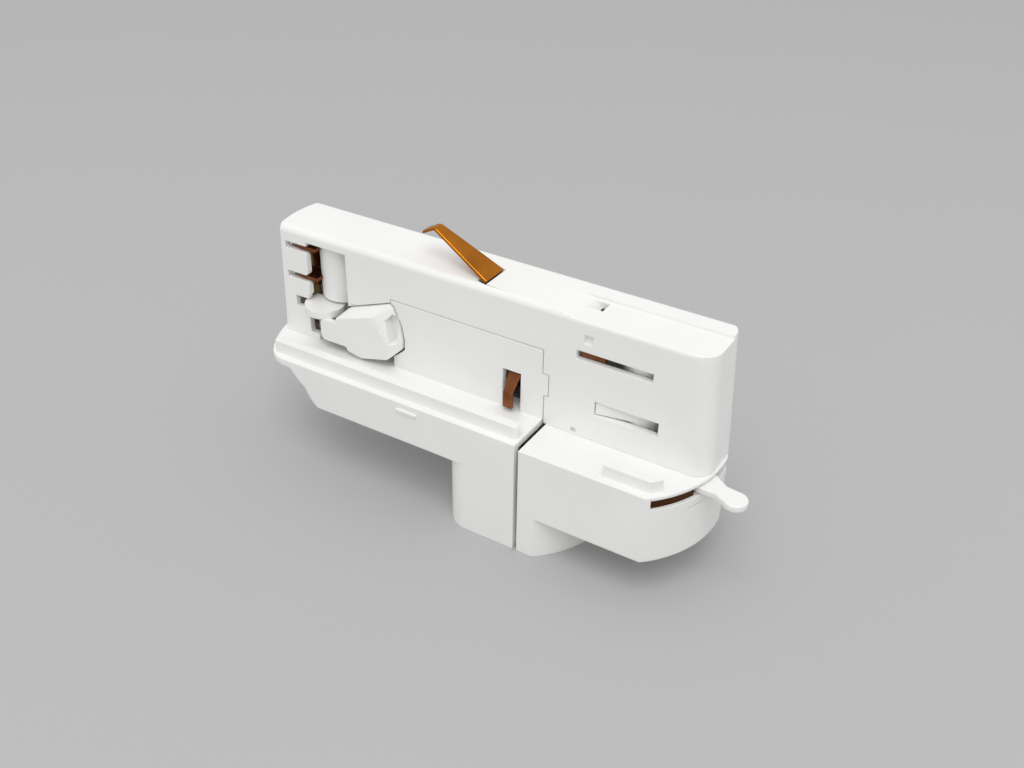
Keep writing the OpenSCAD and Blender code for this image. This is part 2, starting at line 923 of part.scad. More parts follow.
// A slotted screw along +Z with its head below the origin
module screw(length) {
    difference() {
        union() {
            post([0, 0], screw_r, [-eps, length]);
            post([0, 0], screw_head_r, [-screw_head_h, 0]);
        }
        slab(
            [-far, far], [-screw_slot_w / 2, screw_slot_w / 2],
            [-far, -screw_head_h + screw_slot_d]
        );
    }
}

module clamp_screws() {
    color(steel)
        for (side = [-1, 1])
            translate([clamp_seat_x, side * clamp_y, clamp_z])
                rotate([0, 90, 0])
                    screw(clamp_len);
}

module case_screws() {
    color(steel)
        for (at = case_screw_at)
            translate([at[0], at[1], left_floor_z + screw_head_h])
                screw(screw_len);
}

// Middle of each terminal across the block
function terminal_y(i) = -terminal_w / 2 + terminal_pitch * (i + 0.5);

// Square column of one terminal's cage
module cage_shape(y, z) {
    half = cage_w / 2;
    slab([terminal_mid_x - half, terminal_mid_x + half], [y - half, y + half], z);
}

// Wire hole of one terminal, as deep as the cage's middle
module wire_hole(y) {
    translate([0, y, (cage_z[0] + cage_z[1]) / 2])
        rotate([0, 90, 0])
            cylinder(h = terminal_mid_x, r = wire_r);
}

// Room for one terminal: a pocket for the cage and a wire hole
module terminal_pocket(y) {
    cage_shape(y, [cage_z[0], right_floor_z + terminal_h + eps]);
    wire_hole(y);
}

module terminal_block() {
    color(pale_grey)
        difference() {
            slab(
                terminal_x, [-terminal_w / 2, terminal_w / 2],
                [right_floor_z, right_floor_z + terminal_h]
            );
            for (i = [0:terminal_count - 1])
                terminal_pocket(terminal_y(i));
        }
}

module terminal_cages() {
    color(brass)
        for (i = [0:terminal_count - 1])
            difference() {
                cage_shape(terminal_y(i), cage_z);
                wire_hole(terminal_y(i));
                post([terminal_mid_x, terminal_y(i)], screw_r, [cage_z[1] - cage_bite, far]);
            }
}

module terminal_screws() {
    head_r = cage_w / 2 - terminal_head_gap;
    top = right_floor_z + terminal_h - terminal_sink;
    slot_y = [-screw_slot_w / 2, screw_slot_w / 2];
    color(steel)
        for (i = [0:terminal_count - 1])
            translate([terminal_mid_x, terminal_y(i), 0])
                difference() {
                    union() {
                        post([0, 0], screw_r, [cage_z[1] - cage_bite, top]);
                        post([0, 0], head_r, [cage_z[1], top]);
                    }
                    slab([-far, far], slot_y, [top - screw_slot_d, far]);
                }
}

// Copper band that the lever clicks over, let into the end wall behind the lever's slot
module spring_shape(gap) {
    turn = asin(gap / spring_r);
    translate([right_end_x, 0, spring_z[0] - gap])
        rotate([0, 0, spring_from - turn])
            rotate_extrude(angle = spring_to - spring_from + 2 * turn)
                flat([spring_r - leaf_t - gap, spring_r], [0, spring_z[1] - spring_z[0] + gap]);
}

module lever_spring() {
    color(copper)
        spring_shape(0);
}

module earth_bus() {
    root_x = top_leaf_x + leaf_t / 2;
    root_y = [top_leaf_root_y - bus_root_w / 2, top_leaf_root_y + bus_root_w / 2];
    strap_y = [-head_inner, head_inner - bus_back_gap];
    roof = head_roof_left_z;
    color(bronze) {
        slab(
            [side_leaf_x - bus_w / 2, side_leaf_x + bus_w / 2], [-head_inner, -head_inner + leaf_t],
            [side_leaf_top[1] + leaf_gap + leaf_t, roof]
        );
        slab([root_x, side_leaf_x + bus_w / 2], strap_y, [roof - leaf_t, roof]);
        slab([root_x - leaf_t, root_x], root_y, [roof - leaf_t, top_leaf_z - leaf_gap - leaf_t]);
    }
}

// Upright strip with a foot that feeds a turning contact, its face on the X axis
module wiper_strip(w, z) {
    slab([0, leaf_t], [-w / 2, w / 2], z);
    slab([0, wiper_foot], [-w / 2, w / 2], [z[0], z[0] + leaf_t]);
}

module neutral_wiper() {
    z = [seat_z, seat_z + neutral_h + neutral_wiper_over];
    color(bronze)
        translate([lock_x + drum_r + wiper_gap, 0, 0])
            wiper_strip(neutral_wiper_w, z);
}

// Stands behind the contacts, where the window shows it
module phase_wiper() {
    z = [left_flange_z, seat_z + upper_h + phase_wiper_over];
    x = phase_x - leg_x - metal_t - phase_wiper_gap - phase_wiper_w / 2;
    color(brass)
        translate([x, phase_wiper_y, 0])
            rotate([0, 0, 90])
                wiper_strip(phase_wiper_w, z);
}

module catch_pin() {
    sink = 0.3;
    color(steel)
        post(
            [catch_x, -catch_y], catch_pin_r,
            [left_roof_z, seat_z + catch_h + catch_t - catch_cap - sink]
        );
}

// Lever and lock rotor

module lock_lever() {
    bulb = [lever_reach - lever_tip_r, lever_tip_r];
    color(white)
        about(lock_x, lever_angle)
            difference() {
                upright(lever_z) {
                    circle(lever_hub_r);
                    polygon([
                        [0, -lever_w / 2], [lever_neck_r - lever_taper, -lever_w / 2],
                        [lever_neck_r, -lever_neck_w / 2], [bulb[0], -bulb[1]],
                        [bulb[0], bulb[1]], [lever_neck_r, lever_neck_w / 2],
                        [lever_neck_r - lever_taper, lever_w / 2], [0, lever_w / 2]
                    ]);
                    translate([bulb[0], 0])
                        circle(bulb[1]);
                }
                post([0, 0], shaft_r, [0, far]);
            }
}

// Root of the neutral blade inside the drum and the blade itself
module blade_shape() {
    z = [seat_z + neutral_h - blade_h / 2, seat_z + neutral_h + blade_h / 2];
    outer_y = -blade_y - blade_out;
    slab([-neutral_len, -blade_kink], [outer_y, outer_y + metal_t], z);
    slab([-blade_kink - metal_t, -blade_kink], [outer_y, -blade_y + metal_t], z);
    slab([-blade_kink - metal_t, metal_t], [-blade_y, -blade_y + metal_t], z);
    slab([0, metal_t], [-blade_y, blade_root], z);
}

// Lock wing along -X, its outer face on the -Y side
module lock_wing() {
    intersection() {
        upright([wing_low, wing_low + wing_t])
            flat([-wing_reach, 0], [-wing_band[1], -wing_band[0]]);
        post([0, 0], wing_tip_r, [0, far]);
    }
}

module lock_rotor() {
    color(white)
        about(lock_x, 0)
            difference() {
                union() {
                    post([0, 0], drum_r, lock_drum_z);
                    post([0, 0], shaft_r, [foot_z, lock_drum_z[1] + top_pin_len]);
                    post(crank, pin_r, [link_z[0], lock_drum_z[0] + eps]);
                    for (turn = [0, 180])
                        rotate([0, 0, wing_rest - 180 + turn])
                            lock_wing();
                }
                blade_shape();
            }
}

module neutral_blade() {
    color(copper)
        about(lock_x, 0)
            blade_shape();
}

module link_bar() {
    ends = [lock_x + crank[0], phase_x + crank[0]];
    color(white)
        difference() {
            upright(link_z) {
                flat([ends[1], ends[0]], [crank[1] - link_half_w, crank[1] + link_half_w]);
                for (x = ends)
                    translate([x, crank[1]])
                        circle(eye_r);
            }
            for (x = ends)
                post([x, crank[1]], pin_r + run_gap, [0, far]);
        }
}

// Phase rotor

// Tongue along -X with a rounded tip
module tongue(h) {
    upright([seat_z + h - metal_t / 2, seat_z + h + metal_t / 2]) {
        flat([-tongue_x, -tongue_root], [-tongue_y - tongue_r, -tongue_y + tongue_r]);
        translate([-tongue_x, -tongue_y])
            circle(tongue_r);
    }
}

// Leg bent down from a tongue beside the drum
module leg(h, length) {
    slab([-leg_x - metal_t, -leg_x], leg_y, [seat_z + h - length, seat_z + h]);
}

module phase_rotor() {
    web_t = 1.2;
    web_z = [link_z[1] + crank_gap, link_z[1] + crank_gap + web_t];
    color(white)
        about(phase_x, 0)
            difference() {
                union() {
                    post([0, 0], drum_r, phase_drum_z);
                    post([0, 0], shaft_r, [link_z[0], phase_drum_z[1] + top_pin_len]);
                    post([0, 0], foot_pin_r, [left_roof_z, link_z[0] + eps]);
                    post(crank, pin_r, [link_z[0], web_z[1]]);
                    upright(web_z) {
                        rotate([0, 0, crank_angle])
                            flat([0, crank_r], [-eye_r, eye_r]);
                        translate(crank)
                            circle(eye_r);
                    }
                }
                tongue(upper_h);
                tongue(lower_h);
                rotate([0, 0, 180])
                    tongue(far_h);
            }
}

module upper_phase_contact() {
    color(copper)
        about(phase_x, 0) {
            tongue(upper_h);
            leg(upper_h, upper_leg);
        }
}

module lower_phase_contact() {
    color(copper)
        about(phase_x, 0) {
            tongue(lower_h);
            leg(lower_h, lower_leg);
        }
}

module far_phase_contact() {
    color(copper)
        about(phase_x, 180)
            tongue(far_h);
}

// Side catch

module side_catch() {
    plate_x = [catch_x + catch_plate[0], catch_x + catch_plate[1] + 2 * catch_plate_r];
    plate_z = [seat_z + catch_plate_low, seat_z + catch_h + eps];
    color(white)
        difference() {
            union() {
                hull() {
                    across([catch_front_y, catch_front_y + catch_skin])
                        polygon(at_catch(catch_front));
                    across([-head_half - catch_skin, -head_half])
                        polygon(at_catch(catch_back));
                }
                across([-head_half - catch_skin, -head_half + catch_inside])
                    polygon(at_catch(catch_back));
                across([catch_front_y, catch_front_y + catch_plate_t])
                    rounded(plate_x, plate_z, catch_plate_r);
                intersection() {
                    post([catch_x, -catch_y], catch_r, [seat_z + catch_h, seat_z + catch_h + catch_t]);
                    slab([-far, far], [-far, -catch_y + catch_trim], [0, far]);
                }
                post([catch_x, -catch_y], catch_hub_r, [seat_z + catch_hub_low, seat_z + catch_h + eps]);
            }
            post(
                [catch_x, -catch_y], catch_pin_r + run_gap,
                [0, seat_z + catch_h + catch_t - catch_cap]
            );
            across([-far, catch_front_y + catch_pocket_d])
                polygon(at_catch(catch_pocket));
        }
}

// Torsion spring round the catch's hub, swept as rings along a helix
function coil_point(i) =
    let (a = 360 * i / coil_steps)
        [coil_r * cos(a), coil_r * sin(a), coil_pitch * i / coil_steps];
function coil_ring(i) =
    let (a = 360 * i / coil_steps, c = coil_point(i))
        [for (j = [0:coil_sides - 1])
            let (b = 360 * j / coil_sides, q = coil_wire_r * [cos(b), sin(b)])
                c + [q[0] * cos(a), q[0] * sin(a), q[1]]];

module catch_spring() {
    last = coil_turns * coil_steps;
    points = [for (i = [0:last]) each coil_ring(i)];
    sides = [for (i = [0:last - 1]) for (j = [0:coil_sides - 1])
        let (k = (j + 1) % coil_sides, a = i * coil_sides, b = a + coil_sides)
            [a + j, b + j, b + k, a + k]];
    start = [for (j = [0:coil_sides - 1]) j];
    end = [for (j = [coil_sides - 1:-1:0]) last * coil_sides + j];
    color(steel)
        translate([catch_x, -catch_y, seat_z + catch_hub_low + coil_lift])
            polyhedron(points, concat(sides, [start, end]));
}

// Earth leaves

// Side view of the top leaf, from its bend up the slope and over its lip; out moves off the underside
function top_leaf_line(out) =
    let (
        a = top_leaf_angle, b = top_leaf_lip_angle, r = top_leaf_lip_r,
        trim = r * tan((a - b) / 2),
        start = (top_leaf_len - trim) * [-cos(a), sin(a)],
        middle = start - r * [sin(a), cos(a)],
        last = middle + r * [sin(b), cos(b)] + (top_leaf_lip - trim) * [-cos(b), sin(b)]
    )
        concat(
            [out * [sin(a), cos(a)]],
            [for (i = [0:top_leaf_steps])
                let (t = a + (b - a) * i / top_leaf_steps)
                    middle + (r + out) * [sin(t), cos(t)]],
            [last + out * [sin(b), cos(b)]]
        );

module top_earth_leaf() {
    run = -top_leaf_len * cos(top_leaf_angle);
    tip = [for (s = [-1, 1]) top_leaf_mid_y + s * top_leaf_tip_w / 2];
    root = [for (s = [-1, 1]) top_leaf_root_y + s * top_leaf_w / 2];
    outer = top_leaf_line(leaf_t);
    color(bronze)
        translate([top_leaf_x, 0, top_leaf_z])
            intersection() {
                across([-far, far])
                    polygon(concat(
                        top_leaf_line(0),
                        [for (i = [len(outer) - 1:-1:0]) outer[i]]
                    ));
                upright([-far, far])
                    polygon([
                        [top_leaf_lap, root[0]], [top_leaf_lap, root[1]], [run, tip[1]],
                        [-far, tip[1]], [-far, tip[0]], [run, tip[0]]
                    ]);
            }
}

// Flat strip outline in the YZ plane through three points
module strip_outline(a, b, c) {
    t = [leaf_t, 0];
    polygon([a, b, c, c + t, b + t, a + t]);
}

module side_earth_leaf() {
    root = side_leaf_w / 2;
    tip = side_leaf_tip_w / 2;
    color(copper)
        intersection() {
            along([side_leaf_x - root, side_leaf_x + root])
                strip_outline(side_leaf_top, side_leaf_nose, side_leaf_end);
            across([-far, far])
                polygon([
                    [side_leaf_x - root, side_leaf_top[1]], [side_leaf_x + root, side_leaf_top[1]],
                    [side_leaf_x + tip, side_leaf_nose[1]], [side_leaf_x + tip, side_leaf_end[1]],
                    [side_leaf_x - tip, side_leaf_end[1]], [side_leaf_x - tip, side_leaf_nose[1]]
                ]);
        }
}

// Selector

module selector_dial() {
    rim = 1.2;
    rim_gap = 0.3;
    rim_z = left_floor_z + rim_gap;
    grip_half_w = 1;
    grip_half_l = selector_r - 1;
    grip_d = 1.2;
    color(pale_grey)
        difference() {
            union() {
                post([selector_x, 0], selector_r, [left_bottom_z, rim_z + eps]);
                post([selector_x, 0], selector_r + rim, [rim_z, rim_z + rim]);
                post([selector_x, 0], shaft_r, [rim_z, left_roof_z - selector_top_gap]);
            }
            translate([selector_x, 0, 0])
                slab(
                    [-grip_half_l, grip_half_l], [-grip_half_w, grip_half_w],
                    [0, left_bottom_z + grip_d]
                );
        }
}

module selector_wiper() {
    half_l = 5.5;
    half_w = shaft_r + 0.8;
    end_gap = 1;
    top = left_roof_z - selector_top_gap - end_gap;
    color(bronze)
        difference() {
            translate([selector_x, 0, 0])
                slab([-half_l, half_l], [-half_w, half_w], [top - leaf_t, top]);
            post([selector_x, 0], shaft_r, [0, far]);
        }
}

upper_cover();
left_base();
right_base();
thread_bush();
clamp_screws();
case_screws();
terminal_block();
terminal_cages();
terminal_screws();
lever_spring();
earth_bus();
neutral_wiper();
phase_wiper();
catch_pin();
lock_lever();
lock_rotor();
neutral_blade();
link_bar();
phase_rotor();
upper_phase_contact();
lower_phase_contact();
far_phase_contact();
side_catch();
catch_spring();
top_earth_leaf();
side_earth_leaf();
selector_dial();
selector_wiper();
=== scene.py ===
"""Looks of a three-circuit track light adapter: soft-edged white mouldings, copper contacts,
bronze earth leaf, fixings, and the studio that shows them."""

import json
import math

import bmesh
import bpy
from bpy.props import FloatProperty, FloatVectorProperty, PointerProperty
from mathutils import Matrix, Vector

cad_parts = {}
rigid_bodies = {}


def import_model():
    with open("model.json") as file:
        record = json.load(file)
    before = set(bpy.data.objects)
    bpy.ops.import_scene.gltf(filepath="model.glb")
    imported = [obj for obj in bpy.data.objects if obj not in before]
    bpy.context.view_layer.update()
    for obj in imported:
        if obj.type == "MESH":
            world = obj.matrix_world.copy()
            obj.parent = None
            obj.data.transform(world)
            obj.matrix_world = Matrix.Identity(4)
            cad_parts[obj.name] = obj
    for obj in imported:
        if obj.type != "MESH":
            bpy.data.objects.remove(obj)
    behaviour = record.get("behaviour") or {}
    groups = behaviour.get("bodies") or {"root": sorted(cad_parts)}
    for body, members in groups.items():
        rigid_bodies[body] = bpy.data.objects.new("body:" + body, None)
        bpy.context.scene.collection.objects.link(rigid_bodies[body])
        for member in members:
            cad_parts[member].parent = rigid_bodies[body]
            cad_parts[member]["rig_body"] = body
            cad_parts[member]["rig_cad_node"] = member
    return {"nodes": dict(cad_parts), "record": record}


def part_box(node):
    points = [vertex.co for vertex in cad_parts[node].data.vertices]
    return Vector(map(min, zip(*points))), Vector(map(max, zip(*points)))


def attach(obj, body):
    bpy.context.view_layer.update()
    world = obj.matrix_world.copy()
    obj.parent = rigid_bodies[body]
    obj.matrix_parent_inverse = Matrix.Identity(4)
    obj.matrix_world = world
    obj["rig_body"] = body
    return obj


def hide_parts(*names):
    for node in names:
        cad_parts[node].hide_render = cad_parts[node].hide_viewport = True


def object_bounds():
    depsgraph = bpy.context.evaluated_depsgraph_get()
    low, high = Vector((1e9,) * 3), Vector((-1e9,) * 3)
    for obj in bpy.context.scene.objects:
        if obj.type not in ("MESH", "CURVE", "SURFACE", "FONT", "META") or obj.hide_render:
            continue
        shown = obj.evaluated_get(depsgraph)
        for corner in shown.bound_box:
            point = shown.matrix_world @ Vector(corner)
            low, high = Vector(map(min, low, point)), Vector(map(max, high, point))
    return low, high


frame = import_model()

CAD_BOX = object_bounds()
MM = 0.001
IMAGE_W = 1024
SENSOR_W = 36.0
# Edges sharper than this are rounded
SHARP = math.radians(35)
# Faces that lie this close to one plane are joined
FLAT = math.radians(0.5)
# Points closer than this are one point
WELD = 0.001 * MM
# Decimals, in metres, to which corners count as level with each other
LEVEL_DIGITS = 6
# Room that a straight cut needs, as a multiple of the rounding
CUT_ROOM = 3.2
# Least upward part of an upper face's normal
UPWARD = 0.3
# How much longer a rolling streak is than it is wide
STREAK_STRETCH = 40
# Stretch of a noise pattern over which a tone changes
TONE_ENDS = (0.3, 0.7)
FLOOR_SIZE = 6
FLOOR_SPECK = 40
KEY_OFFSET = Vector((0.32, -0.64, 1.3))
KEY_SIZE = 0.9
NEAR_CLIP = 0.01

bl_info = {
    "name": "Track light adapter",
    "version": (1, 0, 0),
    "blender": (4, 5, 0),
    "location": "View3D > Sidebar > Adapter",
    "description": "Dresses the packed track light adapter and sets its studio",
    "category": "Object",
}


def linear(code):
    """Linear RGBA of an sRGB hex colour."""
    parts = [int(code[i:i + 2], 16) / 255 for i in (1, 3, 5)]
    return [c / 12.92 if c <= 0.04045 else ((c + 0.055) / 1.055) ** 2.4 for c in parts] + [1.0]


def colour(name, description, code):
    """A colour property with its default given in sRGB hex."""
    return FloatVectorProperty(
        name=name, description=description, subtype="COLOR", size=4, min=0, max=1,
        default=linear(code),
    )


def length(name, description, millimetres):
    """A length property with its default given in millimetres."""
    return FloatProperty(
        name=name, description=description, unit="LENGTH", min=0, default=millimetres * MM,
    )


class AdapterFinish(bpy.types.PropertyGroup):
    """Colours and edge sizes of the adapter's pieces."""

    white: colour("White", "Colour of the white mouldings", "#f4f4f2")
    grey: colour("Pale grey", "Colour of the terminal block and the selector", "#d9d9d5")
    copper: colour("Copper", "Colour of the stamped contacts", "#915a3b")
    bronze: colour("Bronze", "Colour of the spring leaves", "#c07622")
    brass: colour("Brass", "Colour of the terminal cages and the phase strip", "#dcbd86")
    steel: colour("Steel", "Colour of screws, bush and pin", "#c4c6c9")
    case_edge: length("Case edge", "Rounding of the case mouldings' edges", 0.15)
    lever_edge: length("Lever edge", "Rounding of the lever's edges", 0.4)
    metal_edge: length("Metal edge", "Rounding of stamped metal edges", 0.1)
    leaf_edge: length("Leaf edge", "Rounding of the top leaf's upper edges", 0.4)


class AdapterStage(bpy.types.PropertyGroup):
    """Floor, lights and camera."""

    floor: colour("Floor", "Colour of the floor", "#b8b8b8")
    sky: FloatProperty(name="Sky", description="Strength of the even light", min=0, default=0.76)
    key: FloatProperty(name="Key", description="Power of the large lamp above", min=0, default=8.7)
    azimuth: FloatProperty(
        name="Azimuth", description="Camera direction round the adapter", subtype="ANGLE",
        default=math.radians(30.813),
    )
    elevation: FloatProperty(
        name="Elevation", description="Camera height above the horizon", subtype="ANGLE",
        default=math.radians(33.388),
    )
    roll: FloatProperty(
        name="Roll", description="Camera roll", subtype="ANGLE", default=math.radians(1.027),
    )
    place: FloatVectorProperty(
        name="Place", description="Place of the camera", subtype="TRANSLATION", unit="LENGTH",
        size=3, default=(0.09171, -0.17374, 0.16082),
    )
    focal: FloatProperty(
        name="Focal length", description="Lens of the camera in millimetres", min=1,
        default=1137.92 * SENSOR_W / IMAGE_W,
    )


def add_node(tree, kind, links=None, **settings):
    """Adds a shader node, sets its values, and links (input, node, output) triples into it."""
    node = tree.nodes.new(kind)
    for name, value in settings.items():
        if name in node.inputs:
            node.inputs[name].default_value = value
        else:
            setattr(node, name, value)
    for into, source, out in links or []:
        tree.links.new(source.outputs[out], node.inputs[into])
    return node


def new_material(name):
    """A material with an empty tree, and that tree with its coordinates and surface nodes."""
    material = bpy.data.materials.new(name)
    material.use_nodes = True
    tree = material.node_tree
    tree.nodes.clear()
    place = tree.nodes.new("ShaderNodeTexCoord")
    surface = tree.nodes.new("ShaderNodeBsdfPrincipled")
    out = tree.nodes.new("ShaderNodeOutputMaterial")
    tree.links.new(surface.outputs["BSDF"], out.inputs["Surface"])
    return material, tree, place, surface


def per_metre(millimetres):
    """Scale of a pattern whose features repeat every so many millimetres."""
    return 1000 / millimetres


def shade(base, by):
    """A colour made lighter or darker by a factor."""
    return [min(1.0, c * by) for c in base[:3]] + [1.0]


def tone_ramp(tree, pattern, low, high, ends=TONE_ENDS):
    """A change from one colour to another that follows a noise pattern."""
    tone = add_node(tree, "ShaderNodeValToRGB", [("Fac", pattern, "Fac")])
    for element, end, value in zip(tone.color_ramp.elements, ends, (low, high)):
        element.position = end
        element.color = value
    return tone


def moulded_plastic(name, base, roughness, ior, grit, flow):
    """Injection moulded plastic: faint cloudy tone from the melt's flow, and a fine spark-eroded
    grain that breaks up the gloss."""
    material, tree, place, surface = new_material(name)
    cloud = add_node(
        tree, "ShaderNodeTexNoise", [("Vector", place, "Object")],
        Scale=per_metre(flow), Detail=3.0, Roughness=0.5,
    )
    tone = tone_ramp(tree, cloud, shade(base, 0.965), base)
    grain = add_node(
        tree, "ShaderNodeTexNoise", [("Vector", place, "Object")],
        Scale=per_metre(grit), Detail=2.0, Roughness=0.6,
    )
    gloss = add_node(
        tree, "ShaderNodeMapRange", [("Value", grain, "Fac")],
        **{"To Min": roughness - 0.06, "To Max": roughness + 0.06},
    )
    bump = add_node(
        tree, "ShaderNodeBump", [("Height", grain, "Fac")], Strength=0.08, Distance=0.02 * MM,
    )
    surface.inputs["IOR"].default_value = ior
    tree.links.new(tone.outputs["Color"], surface.inputs["Base Color"])
    tree.links.new(gloss.outputs["Result"], surface.inputs["Roughness"])
    tree.links.new(bump.outputs["Normal"], surface.inputs["Normal"])
    return material


def rolled_metal(name, base, roughness, along, streak, tarnish):
    """Rolled and stamped strip: streaks along the rolling direction, and a cloudy tarnish that
    darkens the metal in patches."""
    material, tree, place, surface = new_material(name)
    stretch = add_node(
        tree, "ShaderNodeMapping", [("Vector", place, "Object")],
        Scale=[per_metre(streak * (STREAK_STRETCH if axis == along else 1)) for axis in "XYZ"],
    )
    lines = add_node(
        tree, "ShaderNodeTexNoise", [("Vector", stretch, "Vector")],
        Scale=1.0, Detail=3.0, Roughness=0.6,
    )
    patches = add_node(
        tree, "ShaderNodeTexNoise", [("Vector", place, "Object")],
        Scale=per_metre(tarnish), Detail=4.0, Roughness=0.55,
    )
    tone = tone_ramp(tree, patches, shade(base, 0.72), shade(base, 1.06))
    gloss = add_node(
        tree, "ShaderNodeMapRange", [("Value", lines, "Fac")],
        **{"To Min": roughness - 0.08, "To Max": roughness + 0.1},
    )
    bump = add_node(
        tree, "ShaderNodeBump", [("Height", lines, "Fac")], Strength=0.12, Distance=0.01 * MM,
    )
    surface.inputs["Metallic"].default_value = 1.0
    tree.links.new(tone.outputs["Color"], surface.inputs["Base Color"])
    tree.links.new(gloss.outputs["Result"], surface.inputs["Roughness"])
    tree.links.new(bump.outputs["Normal"], surface.inputs["Normal"])
    return material


MATERIALS = {}


def make_materials(finish):
    """Every material of the adapter, under the name of the record's slot, and the copper band
    darkened as painted shade.
    """
    MATERIALS.update({
        # Polycarbonate moulding: clean white with a soft sheen
        "white_moulding": moulded_plastic(
            "white polycarbonate, moulded", finish.white,
            roughness=0.38, ior=1.58, grit=0.25, flow=14),
        # Polyamide moulding: greyer and duller, with a coarser grain
        "terminal_moulding": moulded_plastic(
            "grey polyamide, moulded", finish.grey,
            roughness=0.52, ior=1.53, grit=0.35, flow=9),
        # Copper strip: reddish, handled and slightly tarnished
        "copper": rolled_metal(
            "copper strip, stamped", finish.copper,
            roughness=0.34, along="X", streak=0.12, tarnish=3),
        # Copper band in the lever's slot: the copper darkened to paint the shade deep in the slot
        "shaded_copper_band": rolled_metal(
            "copper band, darkened as painted shade", shade(finish.copper, 0.35),
            roughness=0.45, along="X", streak=0.12, tarnish=3),
        # Bronze spring strip: golden and bright along the rolling direction
        "bronze": rolled_metal(
            "spring bronze strip, rolled", finish.bronze,
            roughness=0.2, along="X", streak=0.12, tarnish=6),
        # Brass bar: pale yellow, sawn and drilled
        "brass": rolled_metal(
            "brass bar, machined", finish.brass,
            roughness=0.45, along="Y", streak=0.15, tarnish=4),
        # Zinc plating: bright grey with a faint blue cloud
        "zinc_plated_steel": rolled_metal(
            "zinc plated steel, turned", finish.steel,
            roughness=0.3, along="Z", streak=0.15, tarnish=2),
        # Spring wire: darker drawn steel
        "spring_steel": rolled_metal(
            "spring steel wire, drawn", shade(finish.steel, 0.7),
            roughness=0.35, along="Z", streak=0.1, tarnish=2),
    })


def body_of(node):
    """The body that a CAD node belongs to."""
    bodies = frame["record"]["behaviour"]["bodies"]
    return next(body for body, members in bodies.items() if node in members)


def slot_of(node):
    """The record's material slot of a CAD node."""
    return next(p["material_slot"] for p in frame["record"]["subparts"] if p["node"] == node)


def paint(obj, slot):
    """Gives a piece one material."""
    obj.data.materials.clear()
    obj.data.materials.append(MATERIALS[slot])


def select_only(obj):
    """Makes one object the active and only selected one."""
    bpy.ops.object.select_all(action="DESELECT")
    obj.select_set(True)
    bpy.context.view_layer.objects.active = obj


def cut_places(piece, axis, room):
    """Middles of the stretches along an axis, wider than the room, that hold no corner."""
    places = sorted({round(vertex.co[axis], LEVEL_DIGITS) for vertex in piece.data.vertices})
    return [(a + b) / 2 for a, b in zip(places, places[1:]) if b - a > room]


def copy_node(node, room):
    """A merged copy of a CAD node's mesh, ready for modelling in edit mode."""
    select_only(frame["nodes"][node])
    bpy.ops.object.duplicate()
    piece = bpy.context.view_layer.objects.active
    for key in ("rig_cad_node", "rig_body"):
        del piece[key]
    piece.name = node + "_soft"
    piece.data.name = piece.name
    cuts = [(axis, place) for axis in range(3) for place in cut_places(piece, axis, room)]
    bpy.ops.object.parent_clear(type="CLEAR_KEEP_TRANSFORM")
    bpy.ops.object.mode_set(mode="EDIT")
    bpy.ops.mesh.select_mode(type="EDGE")
    bpy.ops.mesh.select_all(action="SELECT")
    bpy.ops.mesh.remove_doubles(threshold=WELD)
    bpy.ops.mesh.customdata_custom_splitnormals_clear()
    # Straight cuts across a face with holes keep long slanting edges out of the rounding
    for axis, place in cuts:
        normal = Vector([float(i == axis) for i in range(3)])
        bpy.ops.mesh.select_all(action="SELECT")
        bpy.ops.mesh.bisect(plane_co=normal * place, plane_no=normal)
        bpy.ops.mesh.mark_seam()
    bpy.ops.mesh.select_all(action="SELECT")
    bpy.ops.mesh.dissolve_limited(angle_limit=FLAT, delimit={"SEAM"})
    bpy.ops.mesh.select_all(action="SELECT")
    bpy.ops.mesh.mark_seam(clear=True)
    bpy.ops.mesh.select_all(action="DESELECT")
    return piece


def draw_in(piece, node):
    """Draws points that rounding pushed out back to the node's own box."""
    low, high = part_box(node)
    for vertex in piece.data.vertices:
        vertex.co = [min(max(c, a), b) for c, a, b in zip(vertex.co, low, high)]


def select_outer_edges(piece, shortest, upper):
    """Selects the sharp outward edges of the piece in edit mode, leaving out specks, and the
    lower side too if only the upper one is wanted."""
    mesh = bmesh.from_edit_mesh(piece.data)
    for edge in mesh.edges:
        if len(edge.link_faces) == 2:
            sharp = edge.calc_face_angle_signed() > SHARP
            smallest = min(face.calc_area() for face in edge.link_faces)
            wanted = not upper or max(face.normal.z for face in edge.link_faces) > UPWARD
            edge.select_set(sharp and wanted and smallest > shortest ** 2)
    bmesh.update_edit_mesh(piece.data)


def soften(node, edge, segments=2, upper=False):
    """Replaces a CAD node by a copy with rounded edges, in the same place and form."""
    piece = copy_node(node, edge * CUT_ROOM)
    select_outer_edges(piece, edge, upper)
    bpy.ops.mesh.bevel(
        offset=edge, segments=segments, affect="EDGES", clamp_overlap=False, loop_slide=False,
        miter_outer="SHARP", miter_inner="SHARP",
    )
    bpy.ops.object.mode_set(mode="OBJECT")
    draw_in(piece, node)
    bpy.ops.object.shade_smooth_by_angle(angle=SHARP)
    flats = piece.modifiers.new("flats", "WEIGHTED_NORMAL")
    flats.keep_sharp = True
    bpy.ops.object.modifier_apply(modifier=flats.name)
    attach(piece, body_of(node))
    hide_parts(node)
    paint(piece, slot_of(node))
    return piece


class ADAPTER_OT_case(bpy.types.Operator):
    """Rounds the lever and gives the turning mouldings their materials"""

    bl_idname = "adapter.case"
    bl_label = "Case mouldings"

    def execute(self, context):
        finish = context.scene.adapter_finish
        for node in ("upper_cover", "left_base", "right_base", "side_catch"):
            soften(node, finish.case_edge)
        return {"FINISHED"}


